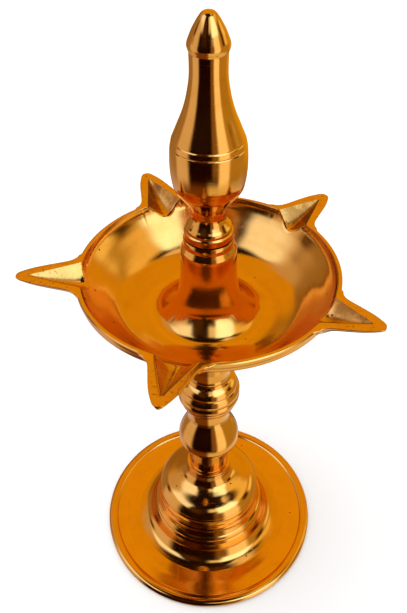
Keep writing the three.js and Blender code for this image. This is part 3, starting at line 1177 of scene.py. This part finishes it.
@dataclass
class OilBowl:
    """The bowl: a shallow floor, a steep wall, a rim band, five spouts, and a post with a flared foot.

    Where a spout stands, its outline runs into the rim's over the blends, and both edges of its
    lip stray by the casting and by the filing.
    """

    studs: Studs
    bottom: float = 125.8
    rim_outer: float = 43.5
    rim_inner: float = 42.1
    rim_top: float = 147.5
    mouth: float = 38.6
    floor_top: float = 129.25
    post: float = 9.1
    top: float = 160.5
    planes: int = 528
    fine_step: float = 0.3
    root_blend: float = 0.7
    keel_blend: float = 0.8
    mouth_blend: float = 0.5
    channel_blend: float = 0.35
    channel_soft: float = 0.6
    least_lip: float = 0.9
    edge_round: float = 0.4
    mouth_round: float = 0.36
    outer_stray: tuple[float, float] = (0.05, 0.10)
    inner_stray: tuple[float, float] = (0.04, 0.12)
    spouts: tuple[Spout, ...] = (
        Spout(43.8, 60.9, 0.3, 0.75),
        Spout(113.4, 62.4, -0.4, 0.8),
        Spout(184.9, 62.4, 0.2, 0.1),
        Spout(257.2, 60.8, -0.2, 0.35),
        Spout(330.6, 60.2, 0.4, 0.7),
    )

    def outside_rows(self) -> list[Point]:
        """Outline of the dish's outside where spouts may stand, up to the rim's edge.

        Returns:
            Its corners, radius and height.
        """
        rows = [p for p in catmull_rom(self.underside(), 48) if p[0] > 34.0]
        band = [(42.55, 143.6), (43.0, 143.95), (43.1, 144.4), (43.1, 144.9), (43.1, 145.35), (43.2, 145.6)]
        band += [(43.4, 145.75), (43.5, 145.95), (43.5, 146.3), (43.5, 146.7), (43.5, 147.1)]
        return rows + band

    def underside(self) -> list[Point]:
        """What the dish's outside passes through below its rim band."""
        return [
            (17.4, self.bottom), (24.0, 127.6), (29.5, 130.4), (34.0, 134.6), (38.5, 139.4), (42.0, 143.2),
        ]

    def inside(self) -> list[Point]:
        """What the dish's inside passes through, from the rim down to the floor."""
        return [
            (self.rim_inner, self.rim_top), (41.5, 144.9), (39.6, 142.2), (36.6, 138.9), (33.2, 135.4),
            (30.0, 132.8), (26.0, 131.0), (22.5, 129.7), (19.6, self.floor_top),
        ]

    def flare(self) -> list[Point]:
        """What the post's flared foot passes through, from the floor up."""
        return [
            (17.0, 129.9), (15.0, 131.4), (13.0, 133.5), (11.3, 136.0), (10.2, 139.4), (9.5, 144.6),
            (self.post, 154.0),
        ]

    def outline(self) -> tuple[Outline, list[tuple[Row, int]]]:
        """The bowl's outline away from the spouts, and which stretch each corner belongs to.

        Returns:
            The outline, and a stretch and a running number in it for each corner.
        """
        outline, tags = Outline(), []

        def lay(row: Row, points: Sequence[Point]) -> None:
            """Adds points of one stretch.

            Args:
                row: The stretch.
                points: Its corners.
            """
            before = len(outline.corners)
            outline.to(*points)
            tags.extend((row, i) for i in range(len(outline.corners) - before))

        lay(Row.PLAIN, socket_below(self.studs.bowl, self.bottom))
        lay(Row.PLAIN, [(10.0, self.bottom), (17.0, self.bottom)])
        lay(Row.PLAIN, [p for p in catmull_rom(self.underside(), 24) if p[0] < 33.6])
        lay(Row.OUTSIDE, self.outside_rows())
        lay(Row.EDGE, [(43.45, 147.3), (43.32, 147.45)])
        lay(Row.LIP, [(43.1 - 0.16 * i, self.rim_top) for i in range(5)])
        inside = self.inside()
        spans, floor = len(inside) + len(self.flare()) - 1, (len(inside) - 1) * 20
        sweep = catmull_rom(inside + self.flare(), spans * 20)
        lip_edge = [(42.32, 147.46), (42.2, 147.37), (42.1, 147.2)]
        lay(Row.WALL, lip_edge + [p for p in sweep[3:60] if p[0] > self.mouth])
        lay(Row.PLAIN, [p for p in sweep[40:floor:4] if p[0] <= self.mouth])
        lay(Row.PLAIN, sweep[floor::4])
        lay(Row.PLAIN, [(self.post, 155.9), (9.0, 156.2), (8.3, 157.5), (8.12, 157.8), (8.1, 158.1)])
        lay(Row.PLAIN, [(8.1, 160.2), (7.9, self.top)])
        lay(Row.PLAIN, socket_above(self.studs.finial, self.top))
        return outline, tags

    def bearings(self) -> list[float]:
        """Where the upright planes of the mesh stand, close together at a spout.

        Returns:
            Their directions in degrees.
        """
        found: list[float] = []
        marks = [s.azimuth for s in self.spouts]
        near = [i * self.fine_step for i in range(21)]
        near += [near[-1] + i * 2 * self.fine_step for i in range(1, 18)]
        share, spare = divmod(self.planes - len(marks) * (2 * len(near) - 1), len(marks))
        for at, (mark, following) in enumerate(zip(marks, marks[1:] + [marks[0] + 360.0])):
            gap = following - mark - 2 * near[-1]
            count = share + (at < spare) + 1
            found += [mark + n for n in near]
            found += [mark + near[-1] + gap * i / count for i in range(1, count)]
            found += [following - n for n in reversed(near[1:])]
        return found

    def nearest(self, bearing: float) -> tuple[SpoutForm, float]:
        """Finds the spout nearest a bearing.

        Args:
            bearing: The direction in degrees.

        Returns:
            The spout's form, and the signed degrees from its middle to the bearing.
        """

        def off(spout: Spout) -> float:
            """Signed degrees from a spout's middle to the bearing."""
            return (bearing - spout.azimuth + 180.0) % 360.0 - 180.0

        spout = min(self.spouts, key=lambda s: abs(off(s)))
        return self.forms[spout.azimuth], off(spout)

    def section(self, bearing: float, base: np.ndarray, tags: Sequence[tuple[Row, int]]) -> np.ndarray:
        """The bowl's outline on one upright plane, with whatever spout stands there.

        Args:
            bearing: The plane's direction in degrees.
            base: The outline away from the spouts, radius and height.
            tags: Which stretch each of its corners belongs to.

        Returns:
            The outline there, radius and height, corner for corner.
        """
        form, off = self.nearest(bearing)
        flat = math.cos(math.radians(off))
        cast = wander(bearing, 3.1, form.spout.stray)
        filing = wander(bearing, 19.0, 5 + form.spout.stray)
        made = base.copy()
        kinds = np.array([row.value for row, _ in tags])
        outside, edge, lip, wall = (kinds == r.value for r in (Row.OUTSIDE, Row.EDGE, Row.LIP, Row.WALL))

        root, nose = np.float64(self.rim_outer - 0.15), np.float64(form.edge(off))
        reach_out = float(smooth_max(root, nose, self.root_blend))
        spoutness = clamped((reach_out - self.rim_outer) / 1.5)
        reach_out += self.outer_stray[0] * cast + self.outer_stray[1] * filing * spoutness
        lip_top = float(form.lip(np.float64(reach_out * flat)))
        low = base[outside][0, 1]
        stretch = (lip_top - self.edge_round - low) / (base[outside][-1, 1] - low)
        heights = low + (base[outside][:, 1] - low) * stretch
        radii = np.linspace(36.0, reach_out, 260)
        hull = np.interp(heights, form.keel(radii, off), radii, left=30.0)
        made[outside, 0] = smooth_max(base[outside][:, 0], hull, self.keel_blend)
        made[outside, 1] = heights
        made[edge, 0] = base[edge][:, 0] + reach_out - self.rim_outer
        made[edge, 1] = base[edge][:, 1] + lip_top - self.rim_top

        channel_end = form.channel_end(off, self.mouth)
        mouth = np.float64(self.rim_inner - 0.1), np.float64(channel_end)
        reach_in = min(float(smooth_max(*mouth, self.mouth_blend)), reach_out - self.least_lip)
        reach_in += self.inner_stray[0] * cast + self.inner_stray[1] * filing * spoutness
        shares = (base[lip][:, 0] - base[lip][0, 0]) / (base[lip][-1, 0] - base[lip][0, 0])
        width = reach_in + self.mouth_round - reach_out + self.edge_round
        made[lip, 0] = reach_out - self.edge_round + width * shares
        made[lip, 1] = form.lip(made[lip, 0] * flat) + form.lip_crown * spoutness * np.sin(np.pi * shares)

        drawn = clamped((reach_in - self.rim_inner - 0.2) / 3.0)
        fall = (self.rim_inner - base[wall][:, 0]) / (self.rim_inner - self.mouth)
        even = np.linspace(fall[0], fall[-1], len(fall))
        shares = fall * (1 - drawn) + even * drawn
        made[wall, 0] = reach_in - shares * (reach_in - self.mouth)
        within = made[wall, 0] < self.rim_inner
        dish = np.interp(made[wall, 0], self.dish[:, 0], self.dish[:, 1])
        cut = form.lip(made[wall, 0] * flat) - form.channel(made[wall, 0], off)
        blend = self.channel_blend + self.channel_soft * clamped((channel_end - self.rim_inner) / 4.0)
        if channel_end > 0.0:
            made[wall, 1] = np.where(within, -smooth_max(-dish, -cut, blend), cut)
        else:
            made[wall, 1] = base[wall][:, 1]
        turn_in = np.flatnonzero(wall)[:3]
        made[turn_in, 0] = reach_in + np.array([0.22, 0.1, 0.0])
        made[turn_in, 1] = form.lip(np.float64(reach_in * flat)) - np.array([0.04, 0.13, 0.3])
        return made

    def shape(self) -> bmesh.types.BMesh:
        """Turns the bowl's outline, then moves each upright plane of it to its own section.

        Returns:
            The bowl's mesh.
        """
        outline, tags = self.outline()
        rim = self.rim_outer, self.rim_inner, self.rim_top
        self.forms = {spout.azimuth: SpoutForm(spout, *rim) for spout in self.spouts}
        spans = len(self.inside())
        dish = catmull_rom(self.inside() + self.flare()[:1], spans * 40)
        self.dish = np.array(dish)[: (spans - 1) * 40 + 1][::-1]
        base = np.array([c[:2] for c in outline.corners])
        bearings = self.bearings()
        bm = new_wire(outline, closed=False)
        number = bm.verts.layers.int.new("corner")
        bm.verts.ensure_lookup_table()
        for at, vert in enumerate(bm.verts):
            vert[number] = at
        spin_round(bm, len(bearings))
        number = bm.verts.layers.int["corner"]
        filed = bm.verts.layers.float.new("filed")
        soot = bm.verts.layers.float.new("soot")
        sections = [self.section(b, base, tags) for b in bearings]
        for vert in bm.verts:
            corner = vert[number]
            if math.hypot(vert.co.x, vert.co.y) < 1e-3:
                continue
            step = round(math.atan2(vert.co.y, vert.co.x) / (2 * math.pi) * len(bearings)) % len(bearings)
            radius, height = sections[step][corner]
            turn = math.radians(bearings[step])
            vert.co = Vector((radius * math.cos(turn), radius * math.sin(turn), height))
            row = tags[corner][0]
            out = clamped((radius - self.rim_outer) / 4.0)
            vert[filed] = out if row in (Row.EDGE, Row.LIP, Row.WALL) else 0.6 * out
            if row in (Row.EDGE, Row.LIP):
                vert[filed] = max(vert[filed], 0.25)
            if row is Row.WALL:
                vert[soot] = self.nearest(bearings[step])[0].spout.soot * clamped((radius - 40.5) / 3.0)
        bmesh.ops.recalc_face_normals(bm, faces=bm.faces[:])
        return bm

    def build(self, finishes: Finishes) -> list[bpy.types.Object]:
        """Makes the bowl's casting."""
        name, brass = "oil_bowl_casting", [finishes.bowl_brass]
        return [stand(self.shape(), name, Body.OIL_BOWL, "oil_bowl", brass, crease=40.0)]


@dataclass
class Finial:
    """The finial: a ringed barrel, a waist, a bulb with scored lines, and a throat under a pointed tip."""

    studs: Studs
    bottom: float = 160.8
    top: float = 228.7
    ring: float = 7.8
    waist: float = 5.3
    bulb: float = 11.4
    throat: float = 5.3
    shoulder: float = 5.85
    scored: tuple[float, ...] = (192.6, 194.5)
    score_width: float = 0.7
    score_depth: float = 0.16

    def shape(self) -> bmesh.types.BMesh:
        """Turns the finial over its blind socket.

        Returns:
            Its mesh.
        """
        outline = Outline().to(*socket_below(self.studs.finial, self.bottom))
        outline.to((self.ring - 0.15, self.bottom), (self.ring, self.bottom + 0.2))
        outline.to((self.ring, 163.0), (self.ring - 0.5, 163.4), fillet=0.15)
        outline.sweep(
            (self.ring - 0.5, 163.4), (7.2, 164.6), (6.4, 165.8), (5.5, 167.4), (self.waist, 169.0), steps=32
        )
        outline.sweep(
            (self.waist, 169.0), (6.1, 172.2), (10.0, 178.0), (10.9, 180.8), (11.35, 184.6),
            (self.bulb, 188.0), (11.2, 191.6), (10.7, 194.2), steps=84,
        )
        outline.sweep(
            (10.7, 194.2), (9.2, 197.8), (7.3, 202.6), (6.1, 207.1), (self.throat, 212.4),
            (self.throat, 218.6), steps=60,
        )
        under = self.shoulder - 0.2
        outline.to((under, 219.5), (self.shoulder, 220.4), (under, 221.3), fillet=0.35)
        outline.sweep((5.65, 221.3), (5.05, 222.8), (4.4, 224.3), (3.1, 226.6), (2.2, 227.9), steps=16)
        outline.sweep((2.2, 227.9), (1.5, 228.5), (0.7, 228.67), (0.0, self.top), steps=8)
        for height in self.scored:
            outline.score(height, self.score_width, self.score_depth)
        return turned(outline)

    def build(self, finishes: Finishes) -> list[bpy.types.Object]:
        """Makes the finial's casting."""
        return [stand(self.shape(), "finial_casting", Body.FINIAL, "finial", [finishes.brass])]


@dataclass(frozen=True)
class Panel:
    """A soft panel of light or shade around the lamp, by direction.

    Azimuth 0 is towards the camera and grows to its right, all in degrees.
    """

    azimuth: float
    elevation: float
    half_width: float
    half_height: float
    edge: float
    glow: tuple[float, float, float]


@dataclass
class Studio:
    """The pale floor, the soft lights and the camera."""

    floor_radius: float = 2.4
    camera_back: float = 170.0
    camera_height: float = 284.75
    camera_pitch: float = 42.29
    lens: float = 39.04
    shift_x: float = -0.0085
    dark: Colour = (0.012, 0.002, 0.0006, 1.0)
    underfoot: Colour = (0.70, 0.58, 0.42, 1.0)
    white: float = 0.85
    pale: tuple[Colour, Colour] = ((0.90, 0.90, 0.89, 1.0), (0.93, 0.93, 0.93, 1.0))
    lamp_at: tuple[float, float, float] = (-0.25, 0.1, 1.5)
    lamp_size: float = 1.4
    lamp_power: float = 14.0
    panels: tuple[Panel, ...] = (
        # The warm wall behind the lamp, seen in the flange and the dish's floor.
        Panel(180, 30, 78, 62, 10, (0.79, 0.46, 0.010)),
        Panel(180, 57, 24, 15, 5, (0.86, 0.49, 0.010)),
        # Dim walls to the right and the left.
        Panel(88, 0, 34, 36, 8, (0.52, 0.36, 0.09)),
        Panel(-122, -2, 26, 32, 8, (0.40, 0.28, 0.17)),
        Panel(-150, 0, 16, 26, 8, (0.34, 0.20, 0.055)),
        # Windows on the left, with dark frames between them.
        Panel(-112, 38, 16, 16, 8, (0.66, 0.55, 0.62)),
        Panel(-82, 5, 22, 48, 7, (0.80, 0.72, 0.95)),
        Panel(-100, 18, 7, 9, 5, (0.10, 0.04, 0.010)),
        Panel(-72, 46, 26, 13, 6, (1.25, 1.55, 3.4)),
        Panel(-28, 36, 13, 13, 8, (0.07, 0.028, 0.006)),
        # Windows on the right of the camera, up to the brightest.
        Panel(20, 0, 9, 30, 5, (0.26, 0.15, 0.06)),
        Panel(12, 46, 12, 10, 5, (1.0, 1.05, 1.4)),
        Panel(45, 5, 16, 50, 5, (1.30, 1.25, 1.6)),
        Panel(85, 18, 8, 11, 5, (0.08, 0.035, 0.008)),
        Panel(92, 42, 26, 11, 6, (1.05, 0.86, 0.50)),
        Panel(44, 42, 24, 17, 6, (1.55, 2.3, 5.0)),
        Panel(108, 13, 12, 9, 5, (1.15, 1.05, 0.75)),
        Panel(78, 70, 22, 6, 4, (1.1, 1.0, 1.15)),
        # The table, dark on the left of the camera and pale on its right.
        Panel(-45, -50, 45, 13, 8, (0.20, 0.075, 0.012)),
        Panel(75, -50, 78, 13, 8, (0.90, 0.80, 0.72)),
        Panel(-122, -48, 34, 14, 8, (0.68, 0.58, 0.66)),
    )

    def world(self) -> bpy.types.World:
        """Lights polished surfaces by direction, and everything else by an even white.

        Returns:
            The world, which the scene then uses.
        """
        made = bpy.data.worlds.new("studio_light")
        made.use_nodes = True
        bench = Bench(made.node_tree)
        ray = bench.add("ShaderNodeTexCoord").outputs["Generated"]
        x, y, z = bench.add("ShaderNodeSeparateXYZ", {"Vector": ray}).outputs
        azimuth = bench.math("DEGREES", bench.math("ARCTAN2", x, bench.math("MULTIPLY", y, -1.0)))
        rise = bench.math("MAXIMUM", -1.0, bench.math("MINIMUM", 1.0, z))
        elevation = bench.math("DEGREES", bench.math("ARCSINE", rise))
        total = bench.mix(bench.ramp(elevation, -72.0, -60.0, 1.0, 0.0), self.dark, self.underfoot)
        for panel in self.panels:
            across = bench.math("WRAP", bench.math("SUBTRACT", azimuth, panel.azimuth), 180.0, -180.0)
            over = bench.math("SUBTRACT", elevation, panel.elevation)
            reach = ((across, panel.half_width), (over, panel.half_height))
            shares = [
                bench.ramp(bench.math("ABSOLUTE", away), half - panel.edge, half + panel.edge, 1.0, 0.0)
                for away, half in reach
            ]
            total = bench.mix(bench.math("MULTIPLY", *shares), total, (*panel.glow, 1.0))
        seen = bench.add("ShaderNodeBackground", {"Color": total, "Strength": 1.0}).outputs[0]
        plain = bench.add("ShaderNodeBackground", {"Color": (1.0, 1.0, 1.0, 1.0), "Strength": self.white})
        glossy = bench.add("ShaderNodeLightPath").outputs["Is Glossy Ray"]
        both = bench.add("ShaderNodeMixShader", {0: glossy, 1: plain.outputs[0], 2: seen})
        bench.add("ShaderNodeOutputWorld", {"Surface": both.outputs[0]})
        bpy.context.scene.world = made
        return made

    def floor(self) -> bpy.types.Object:
        """Lays a plain pale floor, which polished surfaces don't mirror.

        Returns:
            The floor.
        """
        bm = bmesh.new()
        bmesh.ops.create_circle(bm, cap_ends=True, segments=96, radius=self.floor_radius)
        mesh = bpy.data.meshes.new("floor")
        bm.to_mesh(mesh)
        bm.free()
        made = bpy.data.materials.new("pale_floor")
        made.use_nodes = True
        bench = Bench(made.node_tree)
        place = bench.add("ShaderNodeTexCoord").outputs["Object"]
        pale = bench.mix(bench.noise(place, 3.0, 2.0, 0.5), *self.pale)
        surface = bench.add("ShaderNodeBsdfPrincipled", {"Base Color": pale, "Roughness": 0.9})
        bench.add("ShaderNodeOutputMaterial", {"Surface": surface.outputs[0]})
        mesh.materials.append(made)
        made_floor = bpy.data.objects.new("floor", mesh)
        bpy.context.scene.collection.objects.link(made_floor)
        made_floor.location.z = -0.0002
        made_floor.visible_glossy = False
        return made_floor

    def overhead(self) -> bpy.types.Object:
        """Hangs one broad soft light, which gives the floor a faint shadow.

        Returns:
            The light.
        """
        data = bpy.data.lights.new("overhead", "AREA")
        data.shape, data.size, data.energy = "DISK", self.lamp_size, self.lamp_power
        light = bpy.data.objects.new("overhead", data)
        bpy.context.scene.collection.objects.link(light)
        light.location = self.lamp_at
        light.rotation_euler = (Vector((0, 0, 0.05)) - light.location).to_track_quat("-Z", "Y").to_euler()
        light.visible_glossy = False
        light.visible_camera = False
        return light

    def camera(self) -> bpy.types.Object:
        """Stands the camera where the photograph was taken from.

        Returns:
            The camera.
        """
        data = bpy.data.cameras.new("camera")
        data.lens, data.sensor_width, data.shift_x = self.lens, 36.0, self.shift_x
        data.clip_start, data.clip_end = 0.01, 20.0
        made = bpy.data.objects.new("camera", data)
        bpy.context.scene.collection.objects.link(made)
        made.location = Vector((AXIS.x, AXIS.y - self.camera_back, self.camera_height)) * MM
        made.rotation_euler = (math.radians(90.0 - self.camera_pitch), 0.0, 0.0)
        bpy.context.scene.camera = made
        return made

    def build(self) -> None:
        """Sets the studio up."""
        self.camera()
        self.world()
        self.floor()
        self.overhead()
        bpy.context.scene.view_settings.view_transform = "Standard"


def main() -> None:
    """Builds the studio and the lamp, from the table up, and works out each piece's triangles."""
    logging.basicConfig(level=logging.INFO, format="%(name)s: %(message)s")
    Studio().build()
    finishes, studs = Finishes.mixed(), Studs()
    castings = [kind(studs) for kind in (Foot, FootFixing, LowerStem, RibbedKnop, OilBowl, Finial)]
    for assembly in [*castings, studs]:
        for piece in assembly.build(finishes):
            piece.data.calc_loop_triangles()


if __name__ == "__main__":
    main()
